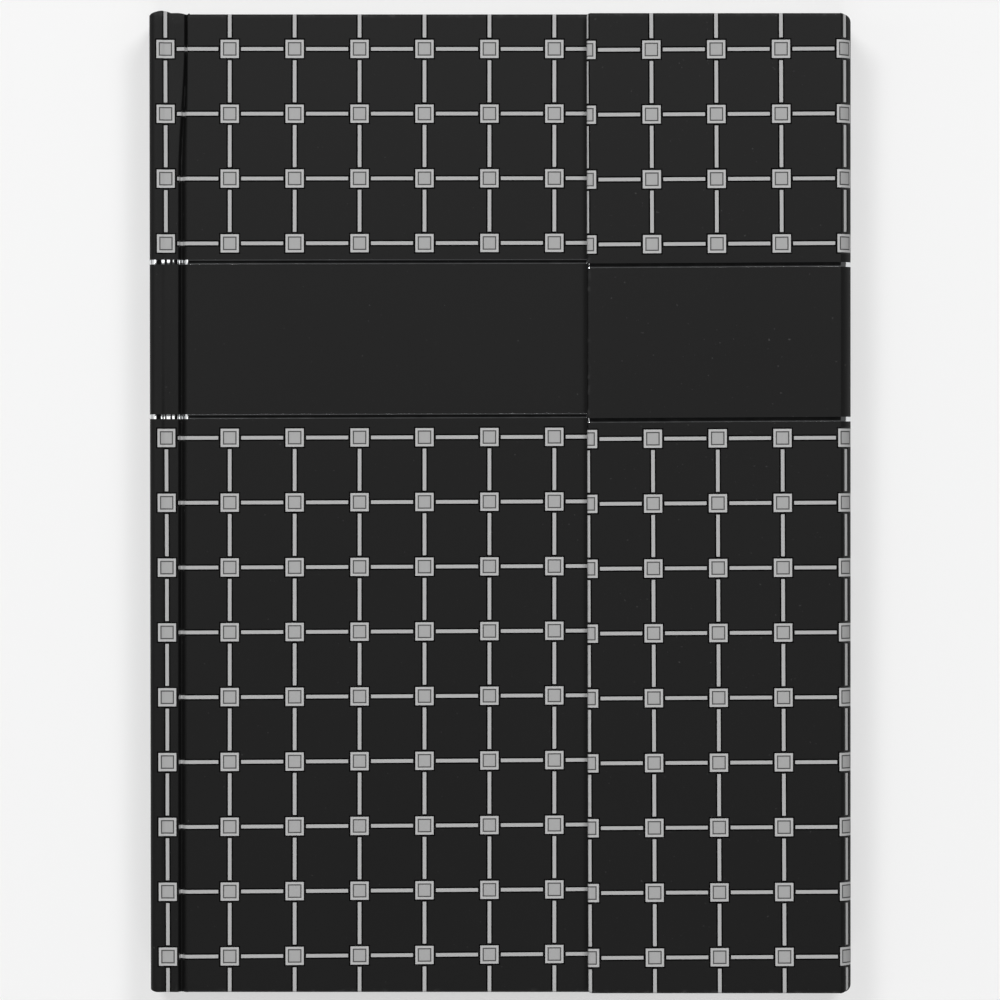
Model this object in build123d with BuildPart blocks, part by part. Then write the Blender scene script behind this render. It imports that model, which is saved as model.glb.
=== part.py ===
from build123d import *
import os

# Address book: a hardback with a case of five board panels. The back cover runs on round the fore edge
# into a flap that lies on the front cover and is held there by hidden magnets.
# Frame: +X from the spine to the fore edge, +Y to the head, +Z up, back cover down, book shut.
# The origin is under the middle of the shut book. All sizes are in millimetres.

# Case
head_square = 3.0
closed_width = 155.0
board_thickness = 2.0
slim_board_thickness = 1.5
wrap_thickness = 0.25
liner_thickness = 0.15
turn_in = 14.0
narrow_turn_in = 10.0
liner_margin = 3.0

# Spine and French grooves
spine_edge_radius = 1.5
joint_width = 8.4
groove_width = 2.0
groove_depth = 0.75
joint_strip_thickness = 0.5

# Flap and folds
flap_reach = 58.3
fold_clearance = 0.2
fold_strip_thickness = 0.45
flap_gap = 0.25
cover_edge_gap = 0.8

# Text block
page_height = 210.0
fore_edge_square = 3.0
leaf_thickness = 0.1
leaves_per_section = 8
flyleaf_thickness = 0.16
index_tabs = ["ab", "cd", "ef", "gh", "ij", "kl", "mn", "op", "qr", "st", "uv", "wxyz"]
tab_depth = 7.0
block_gap = 0.1
spine_hollow = 0.6
spine_lining_thickness = 0.3
spine_lining_margin = 6.0
band_diameter = 1.6
band_end_gap = 0.3

# Magnetic closure
magnet_length = 20.0
magnet_width = 10.0
magnet_thickness = 1.0
magnet_spacing = 110.0
magnet_inset = 12.0
pocket_clearance = 0.1

# The boards stand proud of the pages at the head and the tail
cover_height = page_height + 2 * head_square

# Stack heights, from the table up
panel_thickness = 2 * wrap_thickness + board_thickness + liner_thickness
slim_panel_thickness = 2 * wrap_thickness + slim_board_thickness + liner_thickness
section_thickness = leaves_per_section * leaf_thickness
block_thickness = len(index_tabs) * section_thickness + 2 * flyleaf_thickness
block_bottom = panel_thickness + block_gap
block_top = block_bottom + block_thickness
spine_height = block_top + block_gap + panel_thickness
closed_thickness = spine_height + flap_gap + slim_panel_thickness

# Places across the book
left = -closed_width / 2
right = closed_width / 2
lower_fold_radius = panel_thickness + fold_clearance
upper_fold_radius = slim_panel_thickness + fold_clearance
front_board_left = left + joint_width
front_board_right = right - slim_panel_thickness - cover_edge_gap - wrap_thickness
page_left = left + panel_thickness + spine_hollow
page_right = front_board_right + wrap_thickness - fore_edge_square
flap_left = right - flap_reach
magnet_x = flap_left + magnet_inset
board_height = cover_height - 2 * wrap_thickness

# Each panel's plane lies on its outer face, with local Z into the book and local Y to the head
back_face = Plane(origin=(0, 0, 0), x_dir=(1, 0, 0), z_dir=(0, 0, 1))
front_face = Plane(origin=(0, 0, spine_height), x_dir=(-1, 0, 0), z_dir=(0, 0, -1))
flap_face = Plane(origin=(0, 0, closed_thickness), x_dir=(-1, 0, 0), z_dir=(0, 0, -1))
spine_face = Plane(origin=(left, 0, 0), x_dir=(0, 0, -1), z_dir=(1, 0, 0))
fore_edge_face = Plane(origin=(right, 0, 0), x_dir=(0, 0, 1), z_dir=(-1, 0, 0))
# Cross-section plane: local X is the book's X, local Y is its Z, drawn at the tail and extruded to the head
tail_section = Plane(origin=(0, -cover_height / 2, 0), x_dir=(1, 0, 0), z_dir=(0, -1, 0))

os.makedirs("parts", exist_ok=True)


def save(piece, name):
    piece.label = name
    export_step(piece, f"parts/{name}.step")


def rectangle_on(plane, start, end, height):
    """A sketch of a rectangle on a panel's plane, from start to end along it."""
    with BuildSketch(plane) as outline:
        with Locations(((start + end) / 2, 0)):
            Rectangle(end - start, height)
    return outline.sketch


def panel_board(name, face, start, end, thickness, pocket_depth=0.0, pockets_at=None):
    """Grey board. Pockets for the closure's metal start that deep below the panel's outer face."""
    with BuildPart() as board:
        add(extrude(rectangle_on(face.offset(wrap_thickness), start, end, board_height), amount=thickness))
        if pockets_at is not None:
            with BuildSketch(face.offset(pocket_depth)):
                with Locations((pockets_at, 0)):
                    with GridLocations(0, magnet_spacing, 1, 2):
                        Rectangle(magnet_width + 2 * pocket_clearance, magnet_length + 2 * pocket_clearance)
            extrude(amount=magnet_thickness, mode=Mode.SUBTRACT)
    save(board.part, name)


def panel_wrap(name, face, start, end, thickness, turn, round_start=False, round_end=False):
    """Printed covering: the outer face, the head and tail edges, and the turn-ins on the inside.
    It also goes round the panel's start or end where that is a free edge."""
    first = start - wrap_thickness if round_start else start
    last = end + wrap_thickness if round_end else end
    window_start = start + turn if round_start else start
    window_end = end - turn if round_end else end
    depth = 2 * wrap_thickness + thickness
    with BuildPart() as wrap:
        add(extrude(rectangle_on(face, first, last, cover_height), amount=depth))
        inside = rectangle_on(face.offset(wrap_thickness), start, end, board_height)
        add(extrude(inside, amount=thickness), mode=Mode.SUBTRACT)
        window_face = face.offset(wrap_thickness + thickness)
        window = rectangle_on(window_face, window_start, window_end, cover_height - 2 * turn)
        add(extrude(window, amount=wrap_thickness), mode=Mode.SUBTRACT)
    save(wrap.part, name)


def panel_liner(name, face, start, end, thickness, turn, round_start=False, round_end=False):
    """Lining paper, as high as the pages: it fills the window between the turn-ins and covers them,
    short of the free edges."""
    window_start = start + turn if round_start else start
    window_end = end - turn if round_end else end
    first = start + liner_margin if round_start else start
    last = end - liner_margin if round_end else end
    window_face = face.offset(wrap_thickness + thickness)
    with BuildPart() as liner:
        pad = rectangle_on(window_face, window_start, window_end, cover_height - 2 * turn)
        add(extrude(pad, amount=wrap_thickness))
        sheet_face = window_face.offset(wrap_thickness)
        sheet = rectangle_on(sheet_face, first, last, page_height)
        add(extrude(sheet, amount=liner_thickness))
    save(liner.part, name)


def closure_metal(name, face, depth, at):
    """The pair of plates or magnets in a board's pockets."""
    with BuildPart() as metal:
        with BuildSketch(face.offset(depth)):
            with Locations((at, 0)):
                with GridLocations(0, magnet_spacing, 1, 2):
                    Rectangle(magnet_width, magnet_length)
        extrude(amount=magnet_thickness)
    save(metal.part, name)


# Front cover: the spine side stays open to the joint strip, and local X runs from the fore edge to the spine
front = (front_face, -front_board_right, -front_board_left, board_thickness)
panel_board("front_board", *front, pocket_depth=wrap_thickness, pockets_at=-magnet_x)
panel_wrap("front_wrap", *front, turn_in, round_start=True)
panel_liner("front_pastedown", *front, turn_in, round_start=True)
closure_metal("closure_plates", front_face, wrap_thickness, -magnet_x)

# Back cover: open to the joint strip on one side and to the lower fold on the other
back = (back_face, left + joint_width, right - lower_fold_radius, board_thickness)
panel_board("back_board", *back)
panel_wrap("back_wrap", *back, turn_in)
panel_liner("back_pastedown", *back, turn_in)

# Spine: local X runs down, between the two rounded edges
spine = (spine_face, spine_edge_radius - spine_height, -spine_edge_radius, board_thickness)
panel_board("spine_board", *spine)
panel_wrap("spine_wrap", *spine, narrow_turn_in)
panel_liner("spine_liner", *spine, narrow_turn_in)

# Fore-edge panel: local X runs up, between the lower and the upper fold
fore_edge = (fore_edge_face, lower_fold_radius, closed_thickness - upper_fold_radius, slim_board_thickness)
panel_board("fore_edge_board", *fore_edge)
panel_wrap("fore_edge_wrap", *fore_edge, narrow_turn_in)
panel_liner("fore_edge_liner", *fore_edge, narrow_turn_in)

# Flap: local X runs from the upper fold to the free edge, and the magnets lie next to the lining
flap = (flap_face, upper_fold_radius - right, -flap_left - wrap_thickness, slim_board_thickness)
magnet_depth = wrap_thickness + slim_board_thickness - magnet_thickness
panel_board("flap_board", *flap, pocket_depth=magnet_depth, pockets_at=-magnet_x)
panel_wrap("flap_wrap", *flap, turn_in, round_end=True)
panel_liner("flap_liner", *flap, turn_in, round_end=True)
closure_metal("flap_magnets", flap_face, magnet_depth, -magnet_x)


def joint_strip(name, outer_face, inward):
    """French joint: covering and mull from the spine's rounded edge over the shoulder, through the groove,
    to the board. inward is -1 for the front joint, which hangs from its outer face, and +1 for the back one."""
    edge = outer_face + inward * spine_edge_radius
    under = outer_face + inward * joint_strip_thickness
    groove_start = left + joint_width - groove_width
    groove_middle = left + joint_width - groove_width / 2
    bottom = outer_face + inward * groove_depth
    corner = (left + spine_edge_radius, edge)
    # the fold's middle, on the outer and on the inner arc
    outer_middle = spine_edge_radius * (1 - 0.5**0.5)
    inner_radius = spine_edge_radius - joint_strip_thickness
    inner_middle = spine_edge_radius - inner_radius * 0.5**0.5
    with BuildPart() as strip:
        with BuildSketch(tail_section):
            with BuildLine():
                ThreePointArc(
                    (left, edge),
                    (left + outer_middle, outer_face + inward * outer_middle),
                    (corner[0], outer_face),
                )
                Line((corner[0], outer_face), (groove_start, outer_face))
                ThreePointArc(
                    (groove_start, outer_face), (groove_middle, bottom), (left + joint_width, outer_face)
                )
                Line((left + joint_width, outer_face), (left + joint_width, under))
                ThreePointArc(
                    (left + joint_width, under),
                    (groove_middle, bottom + inward * joint_strip_thickness),
                    (groove_start, under),
                )
                Line((groove_start, under), (corner[0], under))
                ThreePointArc(
                    (corner[0], under),
                    (left + inner_middle, outer_face + inward * inner_middle),
                    (left + joint_strip_thickness, edge),
                )
                Line((left + joint_strip_thickness, edge), (left, edge))
            make_face()
        extrude(amount=-cover_height)
    save(strip.part, name)


def fold_strip(name, radius, outer_face, inward):
    """Covering and lining round a fold at the fore edge: a quarter of a tube that the panels run into."""
    inner = radius - fold_strip_thickness
    centre_x = right - radius
    centre_z = outer_face + inward * radius
    reach = radius * 0.5**0.5
    inner_reach = inner * 0.5**0.5
    with BuildPart() as strip:
        with BuildSketch(tail_section):
            with BuildLine():
                ThreePointArc(
                    (centre_x, outer_face),
                    (centre_x + reach, centre_z - inward * reach),
                    (right, centre_z),
                )
                Line((right, centre_z), (centre_x + inner, centre_z))
                ThreePointArc(
                    (centre_x + inner, centre_z),
                    (centre_x + inner_reach, centre_z - inward * inner_reach),
                    (centre_x, centre_z - inward * inner),
                )
                Line((centre_x, centre_z - inward * inner), (centre_x, outer_face))
            make_face()
        extrude(amount=-cover_height)
    save(strip.part, name)


joint_strip("front_joint", spine_height, -1)
joint_strip("back_joint", 0.0, 1)
fold_strip("lower_fold", lower_fold_radius, 0.0, 1)
fold_strip("upper_fold", upper_fold_radius, closed_thickness, -1)


def leaf_stack(name, bottom, thickness, cut_below=None):
    """Leaves from the spine to the fore edge. Below cut_below the index margin is cut away."""
    with BuildPart() as stack:
        with BuildSketch(Plane.XY.offset(bottom)):
            with Locations(((page_left + page_right) / 2, 0)):
                Rectangle(page_right - page_left, page_height)
            if cut_below is not None:
                cut_height = cut_below + page_height / 2
                with Locations((page_right - tab_depth / 2, cut_below - cut_height / 2)):
                    Rectangle(tab_depth, cut_height, mode=Mode.SUBTRACT)
        extrude(amount=thickness)
    save(stack.part, name)


# Text block, from the back flyleaf up: the first letters lie on top, and their tab is at the head
leaf_stack("back_flyleaf", block_bottom, flyleaf_thickness)
tab_height = page_height / len(index_tabs)
for order, letters in enumerate(index_tabs):
    section_top = block_top - flyleaf_thickness - order * section_thickness
    tab_bottom = page_height / 2 - (order + 1) * tab_height
    is_last = order == len(index_tabs) - 1
    leaf_stack(
        f"leaves_{letters}",
        section_top - section_thickness,
        section_thickness,
        None if is_last else tab_bottom,
    )
leaf_stack("front_flyleaf", block_top - flyleaf_thickness, flyleaf_thickness)

# Mull glued down the back of the text block
with BuildPart() as spine_lining:
    with BuildSketch(Plane.XY.offset(block_bottom)):
        with Locations((page_left - spine_lining_thickness / 2, 0)):
            Rectangle(spine_lining_thickness, page_height - 2 * spine_lining_margin)
    extrude(amount=block_thickness)
save(spine_lining.part, "spine_lining")

# Woven bands at the head and the tail of the text block's back
for end_name, side in (("head_band", 1), ("tail_band", -1)):
    with BuildPart() as band:
        with BuildSketch(Plane.XY.offset(block_bottom + band_end_gap)):
            with Locations((page_left + band_diameter / 2, side * (page_height + band_diameter) / 2)):
                Circle(band_diameter / 2)
        extrude(amount=block_thickness - 2 * band_end_gap)
    save(band.part, end_name)
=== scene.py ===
"""Looks of the address book: the printed covering, the foil lines, the leaves and the studio round them.

Frame: +X from the spine to the fore edge, +Y to the head, +Z up, book shut, back cover down. Metres.
"""
import math
from functools import partial

import bmesh
import bpy
from mathutils import Matrix, Vector


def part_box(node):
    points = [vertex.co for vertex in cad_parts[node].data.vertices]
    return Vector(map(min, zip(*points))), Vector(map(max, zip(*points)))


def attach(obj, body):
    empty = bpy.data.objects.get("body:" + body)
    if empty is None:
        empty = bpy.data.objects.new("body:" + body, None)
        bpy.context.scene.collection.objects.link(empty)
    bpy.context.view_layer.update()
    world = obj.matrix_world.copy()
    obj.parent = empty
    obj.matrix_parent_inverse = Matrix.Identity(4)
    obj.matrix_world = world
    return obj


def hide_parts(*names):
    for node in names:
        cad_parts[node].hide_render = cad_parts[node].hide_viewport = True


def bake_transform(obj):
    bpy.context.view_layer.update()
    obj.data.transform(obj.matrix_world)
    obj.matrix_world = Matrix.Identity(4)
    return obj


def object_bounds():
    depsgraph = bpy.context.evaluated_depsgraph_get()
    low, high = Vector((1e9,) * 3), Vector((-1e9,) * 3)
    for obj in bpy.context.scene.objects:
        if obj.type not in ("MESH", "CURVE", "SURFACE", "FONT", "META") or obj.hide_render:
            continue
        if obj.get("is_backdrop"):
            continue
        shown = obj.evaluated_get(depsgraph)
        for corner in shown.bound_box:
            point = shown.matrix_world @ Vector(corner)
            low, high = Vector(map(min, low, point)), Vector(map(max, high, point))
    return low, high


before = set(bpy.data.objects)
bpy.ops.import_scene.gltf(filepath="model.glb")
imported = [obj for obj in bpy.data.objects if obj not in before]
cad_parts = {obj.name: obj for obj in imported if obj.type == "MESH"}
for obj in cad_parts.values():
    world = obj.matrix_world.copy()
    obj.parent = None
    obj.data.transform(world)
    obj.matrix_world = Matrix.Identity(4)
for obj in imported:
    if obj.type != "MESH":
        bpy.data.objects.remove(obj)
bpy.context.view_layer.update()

MM = 0.001
SEED = 7

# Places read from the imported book
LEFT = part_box("front_joint")[0].x
JOINT_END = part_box("front_joint")[1].x
COVER_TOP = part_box("front_joint")[1].z
SPINE_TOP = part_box("spine_wrap")[1].z
SPINE_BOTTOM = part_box("spine_wrap")[0].z
SPINE_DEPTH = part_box("spine_wrap")[1].x - LEFT
FRONT_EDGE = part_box("front_wrap")[1].x
FRONT_DEPTH = COVER_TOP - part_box("front_wrap")[0].z
FLAP_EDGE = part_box("flap_wrap")[0].x
FLAP_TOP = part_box("flap_wrap")[1].z
FLAP_DEPTH = FLAP_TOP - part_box("flap_wrap")[0].z
BACK_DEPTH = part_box("back_wrap")[1].z
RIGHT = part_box("lower_fold")[1].x
LOWER_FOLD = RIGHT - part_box("lower_fold")[0].x
FOLD_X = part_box("upper_fold")[0].x
UPPER_FOLD = RIGHT - FOLD_X
PAGE_LOW, PAGE_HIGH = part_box("leaves_wxyz")[0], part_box("leaves_ab")[1]

# Covering: the sheet, the radii it turns round, and how far it turns in
PROUD = 0.25 * MM
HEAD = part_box("front_wrap")[1].y + PROUD
SKIN = 0.2 * MM
STRIP_DEPTH = 0.5 * MM
BOARD_EDGE = 0.5 * MM
STRIP_EDGE = 0.2 * MM
PANEL_EDGE = 1.85 * MM
BOARD_CORNER = 0.8 * MM
TURN_IN = 14 * MM
NARROW_TURN_IN = 10 * MM
TUCK = 5 * MM
SPINE_EDGE = SPINE_BOTTOM
SPINE_SWELL = 0.35 * MM
FOLD_FLAT = 0.65
MERGE = 0.001 * MM
SHARP = 40

# How finely the covering is divided
ROUND_STEPS = 6
CORNER_STEPS = 5
FOLD_STEPS = 14
JOINT_STEPS = 46
SIDE_STEPS = 8
FLAP_STEPS = 24
FACE_STEPS = 40
LONG_STEPS = 96
FACE_RINGS = [inset * MM for inset in (1, 2, 4, 8, 15, 25, 40, 60, 85)]

# The joint, in millimetres from the spine: the shoulder's heights against the cover, then the groove with
# its steep side to the spine and its gentle side to the board, and how soon it eases out at both
SHOULDER = [(1.5, 0.0), (2.2, -0.03), (3.4, -0.36), (4.6, -0.2), (5.6, -0.1), (8.4, 0.0)]
JOINT_FROM, JOINT_TO = SHOULDER[0][0], SHOULDER[-1][0]
GROOVE_AT, GROOVE_DEEP, GROOVE_STEEP, GROOVE_GENTLE = 6.75, 1.15, 0.34, 0.78
SPINE_EASE, BOARD_EASE = 0.8, 0.35

# Near the head the groove pinches to a crease and the shoulder puckers; the shoulder sags in slow waves
CREASE_START, CREASE_RUN = 36 * MM, 30 * MM
CREASE_SHIFT, CREASE_SHALLOW, CREASE_STEEP, CREASE_GENTLE = 1.15, 0.25, 0.12, 0.52
PUCKER_AT, PUCKER_DEEP, PUCKER_REACH = 5.2, 0.22, 1.1
SAG, SHORT_WAVE, LONG_WAVE = 0.3, 9 * MM, 31 * MM

# The head cap, the round corners beside it, the shares of the joint's width where they end, and the runs
# over which the covering's ends are shaped
CAP_RISE, CAP_FALL = 0.3 * MM, 0.65
CAP_CROWN, CROWN_END = 0.5 * MM, 0.5
CORNER_CUT, CORNER_END = 0.45 * MM, 0.12
CAP_RUN = 5 * MM
FOLD_RUN = 6 * MM

# Print: a lattice of squares joined by bars, with a bare band across it between two foil lines
PITCH = 14.37 * MM
ROW_PITCH = 14.352 * MM
ROW_DRAW = 0.036
FLAP_PITCH = 14.31 * MM
FLAP_ROW_PITCH = 14.32 * MM
FLAP_PRINT_DROP = 0.48 * MM
FLAP_PRINT_TURN = 0.33 / 58.3
FLAP_PRINT_LEAN = 0.0039
FLAP_PRINT_SHIFT = 0.2 * MM
FLAP_EDGE_LEAN = 0.0014
FIRST_ROW = HEAD - 7.7 * MM
FIRST_COLUMN = JOINT_END - 5.19 * MM
SHOULDER_COLUMN = 3.5 * MM
SHOULDER_LEAN = 0.0015
SHOULDER_FLAT = 2.3 * MM
SQUARE = 3.98 * MM
SQUARE_LINE = 3.0 * MM
SQUARE_CORE = 2.42 * MM
BAR = 0.78 * MM
BAR_GAP = 0.55 * MM
BAND_ROW, BAND_HALF = 4.5, 1.0
STAMP_WALL = 0.34 * MM
FRONT_STAMP = 0.38 * MM
FLAP_STAMP = 0.42 * MM

# Foil lines: their rows in the lattice, and the heights of their rims as shares of the rise
FOIL_ROWS = (3.288, 5.672)
FLAP_FOIL_ROWS = (3.328, 5.713)
FOIL_WIDTH = 1.02 * MM
FOIL_RISE = 0.043 * MM
FOIL_RIM = 1.35
FRONT_HEAD_RIM = 1.7
FLAP_HEAD_RIM = 0.4
JOINT_RIM = 0.4

# Text block: leaves with a stepped index, ruled for entries
SECTIONS = ["ab", "cd", "ef", "gh", "ij", "kl", "mn", "op", "qr", "st", "uv", "wxyz"]
TAB_HEIGHT = (PAGE_HIGH.y - PAGE_LOW.y) / len(SECTIONS)
TAB_DEPTH = 7 * MM
TAB_CORNER = 2 * MM
LEAVES = 8
LEAF = 0.085 * MM
LEAF_SHUFFLE = 0.05 * MM
RULE_PITCH = 8.75 * MM
RULE = 0.22 * MM
ENTRY_RULES = 4
RULE_MARGIN = 9 * MM
RULE_HEAD = 14 * MM
RULE_TAIL = 6 * MM
LETTER = 6.4 * MM
SMALL_LETTER = 0.72 * LETTER
LETTER_RISE = 0.012 * MM
BAND_THREAD = 0.34 * MM
BAND_SIDES, RING_SIDES, THREAD_SIDES = 12, 14, 5
LINING_ROWS, LINING_COLUMNS = 24, 40

# Studio, with the width that the picture takes in a little above the cover
FLOOR_REACH = 1.5
FLOOR_DROP = 0.08 * MM
FRAME_WIDTH = 221.1 * MM
SENSOR, LENS = 36, 150
CAMERA_X, CAMERA_Y = -0.1 * MM, 0.7 * MM
FRAME_RISE = 1 * MM


def linear(hex_colour):
    """An sRGB hex colour as the linear RGBA that nodes take."""
    channels = [int(hex_colour[i:i + 2], 16) / 255 for i in (1, 3, 5)]
    return [c / 12.92 if c <= 0.04045 else ((c + 0.055) / 1.055) ** 2.4 for c in channels] + [1.0]


def grey(level):
    """A linear grey as RGBA."""
    return (level, level, level, 1.0)


def add_node(tree, kind, links=None, **settings):
    """Adds a node. links gives an input its value or the output that feeds it, and a node there stands for
    its first output."""
    made = tree.nodes.new(kind)
    for name, value in settings.items():
        setattr(made, name, value)
    for socket, source in (links or {}).items():
        if isinstance(source, bpy.types.Node):
            source = source.outputs[0]
        if isinstance(source, bpy.types.NodeSocket):
            tree.links.new(source, made.inputs[socket])
        else:
            made.inputs[socket].default_value = source
    return made


def empty_tree(owner):
    """Clears the nodes of a material or a world, and gives the call that adds nodes there."""
    owner.use_nodes = True
    owner.node_tree.nodes.clear()
    return partial(add_node, owner.node_tree)


def new_material(name):
    """A material: (material, the call that adds nodes to it, the coordinate on the piece)."""
    material = bpy.data.materials.new(name)
    add = empty_tree(material)
    return material, add, add("ShaderNodeTexCoord").outputs["Object"]


def cloudy_tone(add, spot, size, detail, dark, light):
    """Noise of a given grain size, and the tone that it gives between two hex colours."""
    cloud = add("ShaderNodeTexNoise", {"Vector": spot, "Scale": 1 / size, "Detail": detail})
    return cloud, add("ShaderNodeMixRGB", {"Fac": cloud, "Color1": linear(dark), "Color2": linear(light)})


def end_material(add, finish, height, strength, distance, below=None):
    """Ends a material: its finish by the shader's sockets, with fine relief from a height, over coarser
    relief below it."""
    fine = {"Height": height, "Strength": strength, "Distance": distance}
    if below is not None:
        fine["Normal"] = below
    shader = add("ShaderNodeBsdfPrincipled", {**finish, "Normal": add("ShaderNodeBump", fine)})
    add("ShaderNodeOutputMaterial", {"Surface": shader})


def set_ramp(ramp, stops):
    """Gives a colour ramp its stops, as (place, RGBA)."""
    while len(ramp.color_ramp.elements) < len(stops):
        ramp.color_ramp.elements.new(1.0)
    for element, (place, colour) in zip(ramp.color_ramp.elements, stops):
        element.position = place
        element.color = colour


def stamped_lattice(add, bars_from, bars_to):
    """The lattice on a UV map that counts in pitches: (how far it is pressed in, where the bars' foil lies,
    where the squares' foil lies, the squares' own tones)."""
    print_map = add("ShaderNodeUVMap", uv_map="print")
    column, row, _ = add("ShaderNodeSeparateXYZ", {0: print_map}).outputs
    from_centre, half_cell = print_map, (0.5, 0.5, 0)
    for operation in ("ADD", "FRACTION", "SUBTRACT", "ABSOLUTE"):
        from_centre = add("ShaderNodeVectorMath", {0: from_centre, 1: half_cell}, operation=operation)
    across, along, _ = add("ShaderNodeSeparateXYZ", {0: from_centre}).outputs
    past_band = add("ShaderNodeMath", {0: row, 1: BAND_ROW}, operation="SUBTRACT")
    from_band = add("ShaderNodeMath", {0: past_band}, operation="ABSOLUTE")
    on_rows = add("ShaderNodeMath", {0: from_band, 1: BAND_HALF}, operation="GREATER_THAN")
    past_rows = add("ShaderNodeMath", {0: from_band, 1: BAND_HALF + 0.5}, operation="GREATER_THAN")

    # Each shape is 1 where the foil lies and falls to 0 over the pressed-in wall round it
    wall, half_bar, half_square = STAMP_WALL / PITCH, BAR / 2 / PITCH, SQUARE / 2 / PITCH
    bar_end = (SQUARE / 2 + BAR_GAP) / PITCH
    bars = []
    for near, far, where in ((across, along, past_rows), (along, across, on_rows)):
        thin = add("ShaderNodeMapRange", {
            "Value": near, "From Min": half_bar + wall, "From Max": half_bar})
        clear = add("ShaderNodeMapRange", {
            "Value": far, "From Min": bar_end - wall, "From Max": bar_end})
        bar = add("ShaderNodeMath", {0: thin, 1: clear}, operation="MULTIPLY")
        bars.append(add("ShaderNodeMath", {0: bar, 1: where}, operation="MULTIPLY"))
    for limit, side in ((bars_from, "GREATER_THAN"), (bars_to, "LESS_THAN")):
        if limit is not None:
            within = add("ShaderNodeMath", {0: column, 1: limit}, operation=side)
            bars[1] = add("ShaderNodeMath", {0: bars[1], 1: within}, operation="MULTIPLY")
    all_bars = add("ShaderNodeMath", {0: bars[0], 1: bars[1]}, operation="MAXIMUM")
    bar_foil = add("ShaderNodeMath", {0: all_bars, 1: 0.99}, operation="GREATER_THAN")

    from_square = add("ShaderNodeMath", {0: across, 1: along}, operation="MAXIMUM")
    square = add("ShaderNodeValToRGB", {0: from_square})
    square.color_ramp.interpolation = "CONSTANT"
    set_ramp(square, [
        (0.0, linear("#A9A9A9")),
        (SQUARE_CORE / 2 / PITCH, linear("#525252")),
        (SQUARE_LINE / 2 / PITCH, linear("#BABABA")),
        (half_square, (0, 0, 0, 0)),
    ])
    square_foil = add("ShaderNodeMath", {0: square.outputs["Alpha"], 1: on_rows}, operation="MULTIPLY")
    square_wall = add("ShaderNodeMapRange", {
        "Value": from_square, "From Min": half_square + wall, "From Max": half_square})
    square_press = add("ShaderNodeMath", {0: square_wall, 1: on_rows}, operation="MULTIPLY")
    # How far the lattice is pressed in: the same mask carries the painted shade on the pressed-in walls
    press_and_shade = add("ShaderNodeMath", {0: all_bars, 1: square_press}, operation="MAXIMUM")
    return press_and_shade, bar_foil, square_foil, square


def laminated_print(name, stamp=None, bars_from=None, bars_to=None):
    """Black paper under matt laminate film, with a lattice stamped in grey pigment foil: a soft low sheen,
    fine orange peel, the lattice pressed in by the depth stamp with painted shade on its pressed-in walls,
    a little dust, and rubbed edges. bars_from and bars_to are the columns between which the level bars run."""
    material, add, spot = new_material(name)
    drift, colour = cloudy_tone(add, spot, 38 * MM, 3.0, "#0B0B0B", "#0F0F0F")
    gloss = add("ShaderNodeMapRange", {"Value": drift, "To Min": 0.5, "To Max": 0.58})
    relief = None
    if stamp:
        press_and_shade, bar_foil, square_foil, square = stamped_lattice(add, bars_from, bars_to)
        relief = add("ShaderNodeBump", {"Height": press_and_shade, "Strength": 1.0, "Distance": stamp}, invert=True)
        # The pressed-in walls get a near-black painted shade, the shade of the stamped recess, under the
        # bars' and squares' foil
        layers = [(press_and_shade, linear("#030303")), (bar_foil, linear("#B2B2B2")), (square_foil, square)]
        for where, tone in layers:
            colour = add("ShaderNodeMixRGB", {"Fac": where, "Color1": colour, "Color2": tone})
        pressed = add("ShaderNodeValToRGB", {0: press_and_shade})
        set_ramp(pressed, [(0.05, grey(0.25)), (0.9, grey(0.25)), (1.0, grey(0.85))])
        touched = add("ShaderNodeMath", {0: press_and_shade, 1: 0.02}, operation="GREATER_THAN")
        gloss = add("ShaderNodeMixRGB", {"Fac": touched, "Color1": gloss, "Color2": pressed})

    # Dust, and edges where the film is rubbed
    specks = add("ShaderNodeTexNoise", {"Vector": spot, "Scale": 1 / (0.7 * MM), "Detail": 1.0})
    dust = add("ShaderNodeMapRange", {"Value": specks, "From Min": 0.76, "From Max": 0.82, "To Max": 0.16})
    dusty = add("ShaderNodeMixRGB", {"Fac": dust, "Color1": colour, "Color2": linear("#8A8A8A")})
    rub = add("ShaderNodeAttribute", attribute_name="rub").outputs["Fac"]
    grit = add("ShaderNodeTexNoise", {"Vector": spot, "Scale": 1 / (1.6 * MM), "Detail": 4.0})
    worn = add("ShaderNodeMapRange", {"Value": grit, "From Min": 0.52, "From Max": 0.75, "To Max": 0.35})
    rubbed = add("ShaderNodeMath", {0: rub, 1: worn}, operation="MULTIPLY")
    finished = add("ShaderNodeMixRGB", {"Fac": rubbed, "Color1": dusty, "Color2": linear("#5A5A5A")})
    finish = {"Base Color": finished, "Roughness": gloss, "IOR": 1.46, "Specular IOR Level": 0.26}
    peel = add("ShaderNodeTexNoise", {"Vector": spot, "Scale": 1 / (0.5 * MM), "Detail": 2.0})
    end_material(add, finish, peel, 0.25, 0.02 * MM, relief)
    return material


def cloudy_metal(name, dark, light, grain, detail, smoothest, roughest, metallic=1.0):
    """Metal film, plated metal or pressed ferrite: cloudy in tone and gloss, with a fine grain."""
    material, add, spot = new_material(name)
    cloud, tone = cloudy_tone(add, spot, grain, detail, dark, light)
    gloss = add("ShaderNodeMapRange", {"Value": cloud, "To Min": smoothest, "To Max": roughest})
    finish = {"Base Color": tone, "Metallic": metallic, "Roughness": gloss}
    end_material(add, finish, cloud, 0.3, 0.02 * MM)
    return material


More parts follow.
